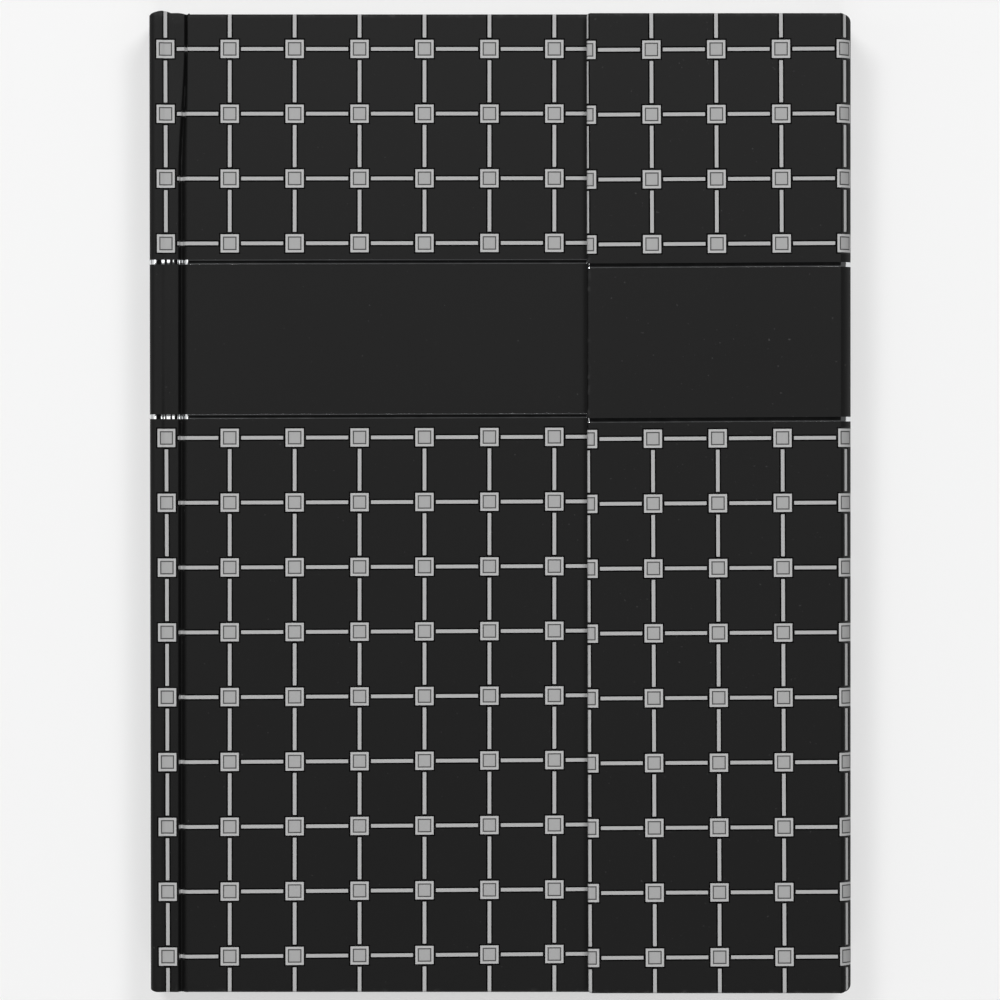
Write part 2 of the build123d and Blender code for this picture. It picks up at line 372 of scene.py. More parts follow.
def fibre_paper(name, dark, light, fibre, roughness):
    """Uncoated paper or board: matt, with short fibres and a cloudy tone. fibre is a fibre's length."""
    material, add, spot = new_material(name)
    cloud = add("ShaderNodeTexNoise", {"Vector": spot, "Scale": 1 / (9 * MM), "Detail": 4.0})
    fibres = add(
        "ShaderNodeTexNoise", {"Vector": spot, "Scale": 1 / fibre, "Detail": 3.0, "Distortion": 1.5})
    mixed = add("ShaderNodeMath", {0: cloud, 1: fibres, 2: 0.15}, operation="MULTIPLY_ADD")
    tone = add("ShaderNodeMixRGB", {"Fac": mixed, "Color1": linear(dark), "Color2": linear(light)})
    end_material(add, {"Base Color": tone, "Roughness": roughness, "IOR": 1.5}, fibres, 0.3, 0.03 * MM)
    return material


def writing_paper():
    """Wood-free writing paper: off-white, matt and a little cloudy, with grey printed rules, a heavier rule
    under each entry and a tinted index margin. The attribute page is 1 on a leaf's two faces."""
    material, add, spot = new_material("wood_free_writing_paper")
    colour = cloudy_tone(add, spot, 6 * MM, 4.0, "#E6E2D6", "#F1EEE5")[1]
    page = add("ShaderNodeAttribute", attribute_name="page").outputs["Fac"]
    x, y, _ = add("ShaderNodeSeparateXYZ", {0: spot}).outputs
    tabs = PAGE_HIGH.x - TAB_DEPTH
    past_tabs = add("ShaderNodeMath", {0: x, 1: tabs}, operation="GREATER_THAN")
    margin = add("ShaderNodeMath", {0: past_tabs, 1: page}, operation="MULTIPLY")
    drop = add("ShaderNodeMath", {0: PAGE_HIGH.y - RULE_HEAD, 1: y}, operation="SUBTRACT")
    ruled = page
    limits = [
        (x, PAGE_LOW.x + RULE_MARGIN, "GREATER_THAN"), (x, tabs - RULE_MARGIN / 2, "LESS_THAN"),
        (drop, -RULE, "GREATER_THAN"), (y, PAGE_LOW.y + RULE_TAIL, "GREATER_THAN")]
    for place, limit, side in limits:
        inside = add("ShaderNodeMath", {0: place, 1: limit}, operation=side)
        ruled = add("ShaderNodeMath", {0: ruled, 1: inside}, operation="MULTIPLY")
    inks = [(margin, "#C4C6C8")]
    rules = [(RULE_PITCH, RULE, "#A9ACB0"), (RULE_PITCH * ENTRY_RULES, 2 * RULE, "#6E7176")]
    for pitch, width, ink in rules:
        off_line = add("ShaderNodeMath", {0: drop, 1: pitch / 2}, operation="PINGPONG")
        on_line = add("ShaderNodeMath", {0: off_line, 1: width / 2}, operation="LESS_THAN")
        rule = add("ShaderNodeMath", {0: on_line, 1: ruled}, operation="MULTIPLY")
        inks.append((rule, ink))
    for where, ink in inks:
        colour = add("ShaderNodeMixRGB", {"Fac": where, "Color1": colour, "Color2": linear(ink)})
    fibres = add("ShaderNodeTexNoise", {"Vector": spot, "Scale": 1 / (0.5 * MM), "Detail": 3.0})
    end_material(add, {"Base Color": colour, "Roughness": 0.88, "IOR": 1.5}, fibres, 0.2, 0.02 * MM)
    return material


def printing_ink():
    """Black offset ink on paper: dense, barely glossy, and thin where the paper's fibres stand up."""
    material, add, spot = new_material("black_offset_ink")
    tone = cloudy_tone(add, spot, 0.4 * MM, 3.0, "#1A1A1C", "#34343A")[1]
    shader = add("ShaderNodeBsdfPrincipled", {"Base Color": tone, "Roughness": 0.6, "IOR": 1.5})
    add("ShaderNodeOutputMaterial", {"Surface": shader})
    return material


def band_silk():
    """Spun silk thread wound round a cord, in pairs of black and white turns, soft and a little shiny. The
    attribute turn counts the threads."""
    material, add, spot = new_material("spun_silk_band")
    turn = add("ShaderNodeAttribute", attribute_name="turn").outputs["Fac"]
    pair = add("ShaderNodeMath", {0: turn, 1: 4.0}, operation="MODULO")
    dark = add("ShaderNodeMath", {0: pair, 1: 1.5}, operation="LESS_THAN")
    fuzz, white = cloudy_tone(add, spot, 0.15 * MM, 2.0, "#C9C5BB", "#EFECE4")
    tone = add("ShaderNodeMixRGB", {"Fac": dark, "Color1": white, "Color2": linear("#1B1B1D")})
    end_material(add, {"Base Color": tone, "Roughness": 0.55, "Sheen Weight": 0.3}, fuzz, 0.4, 0.03 * MM)
    return material


def mull_gauze():
    """Mull: open cotton gauze stiffened with glue, threads 0.8 mm apart, drawn a little wider to show."""
    material, add, spot = new_material("glued_cotton_mull")
    place = add("ShaderNodeSeparateXYZ", {0: spot})
    half_pitch = 0.4 * MM
    threads = []
    for axis in ("Y", "Z"):
        wave = add("ShaderNodeMath", {0: place.outputs[axis], 1: half_pitch}, operation="PINGPONG")
        threads.append(add("ShaderNodeMath", {0: wave, 1: 1 / half_pitch}, operation="MULTIPLY"))
    weave = add("ShaderNodeMath", {0: threads[0], 1: threads[1]}, operation="MAXIMUM")
    cotton = cloudy_tone(add, spot, 5 * MM, 3.0, "#C9C0AA", "#E2DCCB")[1]
    tone = add("ShaderNodeMixRGB", {"Fac": weave, "Color1": linear("#8F8672"), "Color2": cotton})
    end_material(add, {"Base Color": tone, "Roughness": 0.8}, weave, 0.6, 0.1 * MM)
    return material


def studio_paint():
    """Pale matt floor paint, half of it lit by itself where it is seen, so that it stays nearly white and
    keeps the book's shadow."""
    material = bpy.data.materials.new("pale_studio_floor")
    add = empty_tree(material)
    paint = add("ShaderNodeBsdfDiffuse", {"Color": linear("#EFEFEF")})
    rays = add("ShaderNodeLightPath").outputs
    mirrored = add(
        "ShaderNodeMath", {0: rays["Is Glossy Ray"], 1: rays["Is Transmission Ray"]}, operation="MAXIMUM")
    seen = add("ShaderNodeMath", {0: rays["Is Camera Ray"], 1: mirrored}, operation="MAXIMUM")
    glow = add("ShaderNodeEmission", {"Strength": seen})
    backdrop = add("ShaderNodeMixShader", {0: 0.5, 1: paint, 2: glow})
    add("ShaderNodeOutputMaterial", {"Surface": backdrop})
    return material


def add_object(name, data):
    """Puts an object with this data in the scene."""
    made = bpy.data.objects.new(name, data)
    bpy.context.scene.collection.objects.link(made)
    return made


def plain_mesh(made):
    """What an object's letters or modifiers make, as a plain mesh."""
    bpy.context.view_layer.update()
    return bpy.data.meshes.new_from_object(made.evaluated_get(bpy.context.evaluated_depsgraph_get()))


def settle(piece):
    """Turns what the modifiers make into the piece's own plain mesh."""
    made = plain_mesh(piece)
    old = piece.data
    piece.modifiers.clear()
    piece.data = made
    made.name = piece.name
    bpy.data.meshes.remove(old)
    made.set_sharp_from_angle(angle=math.radians(SHARP))
    return piece


def mesh_piece(name, points, faces, material, uvs=None, rub=None, thickness=0.0):
    """A mesh from grid points, with doubled points merged. uvs and rub are one value a point; thickness is
    added inwards."""
    mesh = bpy.data.meshes.new(name)
    mesh.from_pydata(points, [], faces)
    mesh.materials.append(material)
    mesh.polygons.foreach_set("use_smooth", [True] * len(mesh.polygons))
    if uvs:
        layer = mesh.uv_layers.new(name="print")
        for loop in mesh.loops:
            layer.data[loop.index].uv = uvs[loop.vertex_index]
    if rub:
        worn = mesh.attributes.new("rub", "FLOAT", "POINT")
        worn.data.foreach_set("value", rub)
    merged = bmesh.new()
    merged.from_mesh(mesh)
    bmesh.ops.remove_doubles(merged, verts=merged.verts, dist=MERGE)
    merged.to_mesh(mesh)
    merged.free()
    mesh.set_sharp_from_angle(angle=math.radians(SHARP))
    piece = add_object(name, mesh)
    if thickness:
        outer_faces = len(mesh.polygons)
        wall = piece.modifiers.new("wall", "SOLIDIFY")
        wall.thickness = thickness
        wall.offset = -1
        settle(piece)
        if uvs:
            # A sheet is printed on its outer face only
            layer = piece.data.uv_layers["print"]
            for face in piece.data.polygons[outer_faces:]:
                for loop in face.loop_indices:
                    layer.data[loop].uv = (0.0, BAND_ROW)
    return piece


def grid_faces(rows, columns, flip=False):
    """Quads of a grid of points that is stored row by row."""
    faces = []
    for i in range(rows - 1):
        for j in range(columns - 1):
            face = (i * columns + j, (i + 1) * columns + j, (i + 1) * columns + j + 1, i * columns + j + 1)
            faces.append(face[::-1] if flip else face)
    return faces


def smooth(t):
    """A soft step from 0 to 1."""
    t = min(max(t, 0.0), 1.0)
    return t * t * (3 - 2 * t)


def spread(start, end, steps):
    """Evenly spaced numbers, both ends included."""
    return [start + (end - start) * i / steps for i in range(steps + 1)]


def arc(centre_x, centre_z, radius, start, end, steps=ROUND_STEPS):
    """Points (x, z) on an arc, by degrees."""
    return [
        (centre_x + radius * math.cos(math.radians(a)), centre_z + radius * math.sin(math.radians(a)))
        for a in spread(start, end, steps)
    ]


def lengths(path):
    """The distance along a path at each of its points."""
    run = [0.0]
    for a, b in zip(path, path[1:]):
        run.append(run[-1] + math.hypot(b[0] - a[0], b[1] - a[1]))
    return run


def outward(path, i):
    """The outward normal (x, z) of a path that goes round the shut book clockwise, seen from the tail."""
    a, b = path[max(i - 1, 0)], path[min(i + 1, len(path) - 1)]
    size = math.hypot(b[0] - a[0], b[1] - a[1])
    return -(b[1] - a[1]) / size, (b[0] - a[0]) / size


def end_profile(depth, edge, turn):
    """From the turn-in round a board's edge to its outer face: (how far in, how deep)."""
    inside = min(edge, depth - edge)
    inner = arc(inside, depth - inside, inside, 90, 180)
    outer = arc(edge, edge, edge, 180, 270)
    return [(turn, depth), (turn / 2, depth), *inner, *outer]


def near_end(y, run):
    """1 at the head and the tail, falling to 0 over a run in from them."""
    return smooth((abs(y) - HEAD + run) / run)


def strip_piece(name, path_at, print_map, start, depth, edge, turn, material, trim=None, capped=False):
    """Covering between two open sides: a cross-section path carried from the tail to the head, with the
    edges turned in. start is the print's distance at the path's first point. trim(share, y) moves the ends,
    and capped closes the two open sides."""
    ends = end_profile(depth, edge, turn)
    flat = lengths(ends)
    tail = [
        (-HEAD + inset, deep, -HEAD + edge + (far - flat[-1])) for (inset, deep), far in zip(ends, flat)]
    middle = [(y, 0.0, y) for y in spread(-HEAD + edge, HEAD - edge, LONG_STEPS)[1:-1]]
    rows = tail + middle + [(-y, deep, -v) for y, deep, v in reversed(tail)]
    paths = [path_at(y) for y, deep, v in rows]
    runs = [lengths(path) for path in paths]
    count = len(paths[0])
    points, uvs, rub = [], [], []
    for i in range(count):
        for path, run, (y, deep, v) in zip(paths, runs, rows):
            normal_x, normal_z = outward(path, i)
            shift = trim(i / (count - 1), y) if trim else 0.0
            points.append((path[i][0] - normal_x * deep, y + shift, path[i][1] - normal_z * deep))
            uvs.append(print_map(start + run[i], v))
            rub.append(smooth(1 - (HEAD - abs(y)) / (2 * edge)) if deep < depth else 0.0)
    faces = grid_faces(count, len(rows))
    if capped:
        faces.append(list(range(len(rows))))
        faces.append(list(reversed(range((count - 1) * len(rows), count * len(rows)))))
    return mesh_piece(name, points, faces, material, uvs, rub, SKIN)


def panel_piece(name, open_x, free_x, face_z, depth, print_map, material, lean=0.0):
    """Covering of a board with one side towards the case: rings from the turn-in, round the three free
    edges and in over the outer face, closed at that side. The free side may lean a little."""
    away = 1 if free_x > open_x else -1
    edge = end_profile(depth, BOARD_EDGE, TURN_IN)
    middle = min(HEAD, abs(free_x - open_x))
    rings = edge + [(inset, 0.0) for inset in [*FACE_RINGS, middle] if inset <= middle]
    run = lengths(rings)
    flat = [edge[-1][0] + (far - run[len(edge) - 1]) for far in run]

    def outline(inset):
        """Points (x, y) along the head, the free side and the tail."""
        reach, top, corner = free_x - away * inset, HEAD - inset, max(BOARD_CORNER - inset, 0.0)
        turn = [math.radians(a) for a in spread(0, 90, CORNER_STEPS)]
        head = [(x, top) for x in spread(open_x, reach - away * corner, FACE_STEPS)]
        bend = [(reach - away * corner * (1 - math.sin(a)), top - corner * (1 - math.cos(a))) for a in turn]
        side = [(reach, y) for y in spread(top - corner, -top + corner, FACE_STEPS)][1:-1]
        half = head + bend[1:] if corner else head + [bend[-1]] * CORNER_STEPS
        square = half + side + [(x, -y) for x, y in reversed(half)]
        return [(x - lean * y * (x - open_x) / (free_x - open_x), y) for x, y in square]

    points, uvs, rub = [], [], []
    for (inset, deep), sheet in zip(rings, flat):
        for (x, y), (u, v) in zip(outline(inset), outline(sheet)):
            points.append((x, y, face_z - deep))
            uvs.append(print_map(u, v))
            rub.append(smooth(1 - inset / (2 * BOARD_EDGE)) if deep < depth else 0.0)
    columns = len(points) // len(rings)
    faces = grid_faces(len(rings), columns, flip=away < 0)
    head_side = [k * columns for k in range(len(rings))]
    tail_side = [k * columns + columns - 1 for k in range(len(rings))]
    faces += [head_side[::-away], tail_side[::away]]
    return mesh_piece(name, points, faces, material, uvs, rub, SKIN)


def foil_piece(name, path_at, print_map, start, rows, tail_rim, head_rim):
    """The two foil lines on one part of the case, a shallow trough along its cross-section path. The rims
    are the heights of the trough's edges towards the tail and the head."""
    profile = [
        (-0.5, -0.2), (-0.5, tail_rim), (-0.3, 0.3), (0.0, 0.2), (0.3, 0.3), (0.5, head_rim), (0.5, -0.2)]
    points, faces = [], []
    for row in rows:
        first = len(points)
        path = path_at(FIRST_ROW - row * ROW_PITCH)
        for i, ((x, z), far) in enumerate(zip(path, lengths(path))):
            normal_x, normal_z = outward(path, i)
            at_middle, at_head = print_map(start + far, 0.0)[1], print_map(start + far, HEAD)[1]
            middle = HEAD * (at_middle - row) / (at_middle - at_head)
            for across, rise in profile:
                lift = rise * FOIL_RISE
                points.append((x + normal_x * lift, middle + across * FOIL_WIDTH, z + normal_z * lift))
        faces += [[first + v for v in f] for f in grid_faces(len(path), len(profile))]
    return mesh_piece(name, points, faces, foil)


def round_free_edge(x, top, depth, away):
    """Points from the inside of a board's free edge to its outer face, or back for the front cover."""
    edge, middle, side = BOARD_EDGE, x - away * BOARD_EDGE, 90 - away * 90
    outer = arc(middle, top - edge, edge, 90, side)
    inner = arc(middle, top - depth + edge, edge, side, side - away * 90)
    return (outer + inner)[::away]


def shoulder_height(far):
    """The shoulder's height in millimetres, eased between its points."""
    for (start, low), (end, high) in zip(SHOULDER, SHOULDER[1:]):
        if far <= end:
            return low + (high - low) * smooth((far - start) / (end - start))
    return 0.0


def groove_depth(far, middle=GROOVE_AT, deep=GROOVE_DEEP, steep=GROOVE_STEEP, gentle=GROOVE_GENTLE):
    """The groove's depth in millimetres: steep towards the spine, gentle up to the board."""
    return deep * math.exp(-((far - middle) / (steep if far < middle else gentle)) ** 2)


def joint_ease(far):
    """1 along the joint, easing to 0 at the spine's edge and at the board."""
    return smooth((far - JOINT_FROM) / SPINE_EASE) * smooth((JOINT_TO - far) / BOARD_EASE)


def spine_swell(y):
    """How far the covering swells past the spine's board, most at the head and nothing at the tail."""
    return SPINE_SWELL * (0.5 + 0.5 * y / HEAD)


def spine_path(y):
    """The covering down the middle of the spine."""
    return [(LEFT - spine_swell(y), z) for z in spread(SPINE_BOTTOM, SPINE_TOP, SIDE_STEPS)]


def spine_round(y, centre_z, start, end):
    """The rounded edge of the spine."""
    edge = arc(LEFT + SPINE_EDGE, centre_z, SPINE_EDGE, start, end)
    return [(x - spine_swell(y) * (LEFT + SPINE_EDGE - x) / SPINE_EDGE, z) for x, z in edge]


def front_joint_path(y):
    """The spine's rounded front edge, the shoulder and the groove. Near the head the groove bears away
    from the spine and pinches to a crease."""
    crease = smooth((y - HEAD + CREASE_START) / CREASE_RUN)
    middle, deepest = GROOVE_AT + CREASE_SHIFT * crease, GROOVE_DEEP - CREASE_SHALLOW * crease
    steep, gentle = GROOVE_STEEP - CREASE_STEEP * crease, GROOVE_GENTLE - CREASE_GENTLE * crease
    sag = 1 + SAG * math.sin(y / SHORT_WAVE) * math.sin(y / LONG_WAVE + 1)
    across = []
    for far in spread(JOINT_FROM, JOINT_TO, JOINT_STEPS):
        deep = groove_depth(far, middle, deepest, steep, gentle)
        pucker = PUCKER_DEEP * crease * math.exp(-((far - PUCKER_AT) / PUCKER_REACH) ** 2)
        high = shoulder_height(far) * sag - (deep + pucker) * joint_ease(far)
        across.append((LEFT + far * MM, COVER_TOP + high * MM))
    return spine_round(y, COVER_TOP - SPINE_EDGE, 180, 90)[:-1] + across


def back_joint_path(y):
    """The groove beside the back board, and the spine's rounded back edge."""
    across = [
        (LEFT + far * MM, groove_depth(far) * joint_ease(far) * MM)
        for far in spread(JOINT_TO, JOINT_FROM, JOINT_STEPS)
    ]
    return across[:-1] + spine_round(y, SPINE_EDGE, 270, 180)


def fold_path(centre_x, centre_z, radius, start, end):
    """The covering over a fold, which lies flatter than a round between the two boards' edges."""
    curve = arc(centre_x, centre_z, radius, start, end, FOLD_STEPS)
    (first_x, first_z), (last_x, last_z) = curve[0], curve[-1]
    chord = zip(spread(first_x, last_x, FOLD_STEPS), spread(first_z, last_z, FOLD_STEPS))
    return [
        (x + (flat_x - x) * FOLD_FLAT, z + (flat_z - z) * FOLD_FLAT)
        for (x, z), (flat_x, flat_z) in zip(curve, chord)
    ]


def shoulder_run(path):
    """The distance along a joint from its board to the column of squares on the shoulder."""
    return lengths([point for point in path if point[0] > LEFT + SHOULDER_COLUMN])[-1]


def front_print(u, y):
    """UV on the front cover, u metres from the board's spine side. The rows are drawn in a little towards
    the fore edge."""
    row_pitch = ROW_PITCH * (1 - ROW_DRAW * max(u, 0.0))
    return (u + JOINT_END - FIRST_COLUMN) / PITCH, (FIRST_ROW - y) / row_pitch


def joint_print(u, y):
    """UV on the front joint, where the print is stretched into the groove."""
    printed = u + front_shoulder
    if printed > SHOULDER_FLAT:
        printed = SHOULDER_FLAT + (printed - SHOULDER_FLAT) * groove_stretch
    return front_print(printed + FIRST_COLUMN - JOINT_END + SHOULDER_LEAN * y, y)


def flap_print(u, y):
    """UV on the sheet that runs from the flap's free edge round to the back, u metres from that edge."""
    drop = FLAP_PRINT_DROP - FLAP_PRINT_TURN * min(u, RIGHT - FLAP_EDGE)
    column = (u - FLAP_PRINT_SHIFT + FLAP_PRINT_LEAN * y) / FLAP_PITCH
    return column, (FIRST_ROW - drop - y) / FLAP_ROW_PITCH


def back_print(u, y):
    """UV on the back, drawn out a little so that its last column lies on the shoulder."""
    return flap_print(back_start + (u - back_start) * back_stretch, y)


def fold_trim(share, y):
    """The covering is drawn in where a fold runs into the rounded end of the fore-edge panel. share is 1
    there and 0 at the fold's other side."""
    drawn = (PANEL_EDGE - STRIP_EDGE) * (1 - math.cos(math.pi / 2 * share))
    return -math.copysign(drawn, y) * near_end(y, FOLD_RUN)


def cap_trim(share, y):
    """The head cap stands a little proud of the boards, and the corners at head and tail are round."""
    corner = CORNER_CUT * (1 - smooth(share / CORNER_END))
    if y < 0:
        return corner * near_end(y, CAP_RUN)
    crown = CAP_CROWN * math.sin(math.pi * min(share / CROWN_END, 1))
    rise = CAP_RISE * (1 - smooth((share - CAP_FALL) / (1 - CAP_FALL)))
    return (rise + crown - corner) * near_end(y, CAP_RUN)


def spine_trim(share, y):
    """The spine's own ends, which meet the round corners beside the front cover."""
    drawn = CORNER_CUT - CAP_RISE if y > 0 else CORNER_CUT
    return -math.copysign(drawn, y) * smooth(2 * share - 1) * near_end(y, CAP_RUN)


def new_tree(name, inputs):
    """A tree that makes shapes, with named inputs, as (name, kind): (tree, the call that adds nodes to it,
    its input sockets by name)."""
    tree = bpy.data.node_groups.new(name, "GeometryNodeTree")
    for label, kind in inputs:
        tree.interface.new_socket(label, in_out="INPUT", socket_type=f"NodeSocket{kind}")
    tree.interface.new_socket("Geometry", in_out="OUTPUT", socket_type="NodeSocketGeometry")
    add = partial(add_node, tree)
    return tree, add, add("NodeGroupInput").outputs


def pile_up(add, shape, count, rise):
    """Copies a shape upwards in even steps."""
    step = add("ShaderNodeCombineXYZ", {"Z": rise})
    line = add("GeometryNodeMeshLine", {"Count": count, "Offset": step}, mode="OFFSET")
    return add("GeometryNodeInstanceOnPoints", {"Points": line, "Instance": shape})


def hand_out(add, shape, material):
    """Ends a tree: the copies are made real and get their material."""
    real = add("GeometryNodeRealizeInstances", {0: shape})
    dressed = add("GeometryNodeSetMaterial", {"Geometry": real, "Material": material})
    add("NodeGroupOutput", {0: dressed})


def leaf_pile_tree():
    """Copies one leaf upwards into a pile whose leaves are a little out of line."""
    tree, add, given = new_tree("leaf_pile", [
        ("Leaf", "Geometry"), ("Count", "Int"), ("Rise", "Float"), ("Shuffle", "Float"), ("Seed", "Int"),
        ("Paper", "Material")])
    placed = pile_up(add, given["Leaf"], given["Count"], given["Rise"])
    most = add("ShaderNodeCombineXYZ", {"X": given["Shuffle"], "Y": given["Shuffle"]})
    least = add("ShaderNodeVectorMath", {0: most, 1: (-1, -1, -1)}, operation="MULTIPLY")
    limits = {0: least, 1: most, "Seed": given["Seed"]}
    drift = add("FunctionNodeRandomValue", limits, data_type="FLOAT_VECTOR")
    moved = add("GeometryNodeTranslateInstances", {"Instances": placed, "Translation": drift})
    hand_out(add, moved, given["Paper"])
    return tree


def thread_band_tree():
    """Winds threads side by side up a cord, each one a closed ring."""
    tree, add, given = new_tree("thread_band", [
        ("Core", "Geometry"), ("Count", "Int"), ("Thread", "Float"), ("Radius", "Float"),
        ("Silk", "Material")])
    ring = add("GeometryNodeCurvePrimitiveCircle", {"Resolution": RING_SIDES, "Radius": given["Radius"]})
    half = add("ShaderNodeMath", {0: given["Thread"], 1: 0.5}, operation="MULTIPLY")
    section = add("GeometryNodeCurvePrimitiveCircle", {"Resolution": THREAD_SIDES, "Radius": half})
    thread = add("GeometryNodeCurveToMesh", {"Curve": ring, "Profile Curve": section})
    placed = pile_up(add, thread, given["Count"], given["Thread"])
    joined = add("GeometryNodeJoinGeometry", {0: placed})
    tree.links.new(given["Core"], joined.inputs[0])
    hand_out(add, joined, given["Silk"])
    return tree


def grow(piece, tree, **values):
    """Runs a tree on a piece, with its inputs set by name, and keeps the result as a plain mesh."""
    modifier = piece.modifiers.new(tree.name, "NODES")
    modifier.node_group = tree
    for item in tree.interface.items_tree:
        if item.in_out == "INPUT" and item.name in values:
            modifier[item.identifier] = values[item.name]
    return settle(piece)


def leaf_piece(name, tab_bottom, bottom):
    """One leaf, cut back below its tab, whose corner is round. The attribute page is 1 on its two faces."""
    cut = PAGE_HIGH.x - TAB_DEPTH
    notch = [(cut, PAGE_LOW.y), (cut, tab_bottom)] if tab_bottom > PAGE_LOW.y + TAB_CORNER else []
    corner = arc(PAGE_HIGH.x - TAB_CORNER, tab_bottom + TAB_CORNER, TAB_CORNER, -90, 0)
    head = [(PAGE_HIGH.x, PAGE_HIGH.y), (PAGE_LOW.x, PAGE_HIGH.y)]
    around = [(PAGE_LOW.x, PAGE_LOW.y), *notch, *corner, *head]
    count = len(around)
    points = [(x, y, z) for z in (bottom, bottom + LEAF) for x, y in around]
    faces = [list(reversed(range(count))), list(range(count, 2 * count))]
    faces += [(i, (i + 1) % count, count + (i + 1) % count, count + i) for i in range(count)]
    mesh = bpy.data.meshes.new(name)
    mesh.from_pydata(points, [], faces)
    page = mesh.attributes.new("page", "FLOAT", "FACE")
    page.data.foreach_set("value", [1.0, 1.0] + [0.0] * count)
    return add_object(name, mesh)


def letters_piece(name, sections):
    """The index letters on the tabs of some sections, in two lines each, as one mesh."""
    made = bmesh.new()
    for section in sections:
        half = (len(section) + 1) // 2
        curve = bpy.data.curves.new(section, "FONT")
        curve.body = f"{section[:half]}\n{section[half:]}".upper()
        curve.align_x = "CENTER"
        curve.align_y = "CENTER"
        curve.size = LETTER if half == 1 else SMALL_LETTER
        text = add_object(section, curve)
        flat = plain_mesh(text)
        middle = PAGE_HIGH.y - (SECTIONS.index(section) + 0.5) * TAB_HEIGHT
        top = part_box(f"leaves_{section}")[1].z
        place = (PAGE_HIGH.x - TAB_DEPTH / 2, middle, top + LETTER_RISE)
        flat.transform(Matrix.Translation(place))
        made.from_mesh(flat)
        bpy.data.objects.remove(text)
        bpy.data.curves.remove(curve)
        bpy.data.meshes.remove(flat)
    mesh = bpy.data.meshes.new(name)
    made.to_mesh(mesh)
    made.free()
    mesh.materials.append(ink)
    return add_object(name, mesh)


# Cross-sections of the case, clockwise round the shut book from the flap's free edge
flap_path = [(FLAP_EDGE + TUCK, FLAP_TOP - FLAP_DEPTH)]
flap_path += round_free_edge(FLAP_EDGE, FLAP_TOP, FLAP_DEPTH, -1)
flap_tuck = lengths(flap_path)[-1] - BOARD_EDGE
flap_path += [(x, FLAP_TOP) for x in spread(FLAP_EDGE + BOARD_EDGE, FOLD_X, FLAP_STEPS)][1:]
upper_fold_path = fold_path(FOLD_X, FLAP_TOP - UPPER_FOLD, UPPER_FOLD, 90, 0)
fore_edge_path = [(RIGHT, z) for z in spread(FLAP_TOP - UPPER_FOLD, LOWER_FOLD, SIDE_STEPS)]
lower_fold_path = fold_path(RIGHT - LOWER_FOLD, LOWER_FOLD, LOWER_FOLD, 0, -90)
back_path = [(x, 0.0) for x in spread(RIGHT - LOWER_FOLD, JOINT_END, FACE_STEPS)]
front_path = [(x, COVER_TOP) for x in spread(JOINT_END, FRONT_EDGE - BOARD_EDGE, FACE_STEPS)][:-1]
front_path += round_free_edge(FRONT_EDGE, COVER_TOP, FRONT_DEPTH, 1)
front_path += [(FRONT_EDGE - TUCK, COVER_TOP - FRONT_DEPTH)]

# How far each part's print starts along its sheet, and how it is stretched at the joints
upper_fold_start = FOLD_X - FLAP_EDGE
fore_edge_start = upper_fold_start + lengths(upper_fold_path)[-1]
lower_fold_start = fore_edge_start + lengths(fore_edge_path)[-1]
back_start = lower_fold_start + lengths(lower_fold_path)[-1]
back_joint_start = back_start + lengths(back_path)[-1]
back_run = lengths(back_path)[-1] + shoulder_run(back_joint_path(0.0))
last_column = round((back_start + back_run - FLAP_PRINT_SHIFT) / FLAP_PITCH)
back_stretch = (last_column * FLAP_PITCH + FLAP_PRINT_SHIFT - back_start) / back_run
front_joint_start = -lengths(front_joint_path(0.0))[-1]
front_shoulder = shoulder_run(front_joint_path(0.0))
groove_stretch = (JOINT_END - FIRST_COLUMN - SHOULDER_FLAT) / (front_shoulder - SHOULDER_FLAT)

front_laminate = laminated_print("matt_laminate_front", FRONT_STAMP, bars_from=0.0)
flap_laminate = laminated_print("matt_laminate_flap", FLAP_STAMP)
back_laminate = laminated_print("matt_laminate_back", FLAP_STAMP, bars_to=last_column)
spine_laminate = laminated_print("matt_laminate_spine")
# Silver hot-stamping foil: a bright mirror film, a little uneven where the die pressed it
foil = cloudy_metal("silver_stamping_foil", "#D4D6D8", "#E6E7E8", 2.5 * MM, 3.0, 0.05, 0.12)

# Each part of the case: its path, its print, and where the print starts
case_parts = {
    "flap": (lambda y: flap_path, flap_print, -flap_tuck),
    "upper_fold": (lambda y: upper_fold_path, flap_print, upper_fold_start),
    "fore_edge": (lambda y: fore_edge_path, flap_print, fore_edge_start),
    "lower_fold": (lambda y: lower_fold_path, flap_print, lower_fold_start),
    "back_cover": (lambda y: back_path, back_print, back_start),
    "back_joint": (back_joint_path, back_print, back_joint_start),
    "spine": (spine_path, front_print, 0.0),
    "front_joint": (front_joint_path, joint_print, front_joint_start),
    "front_cover": (lambda y: front_path, front_print, 0.0),
}
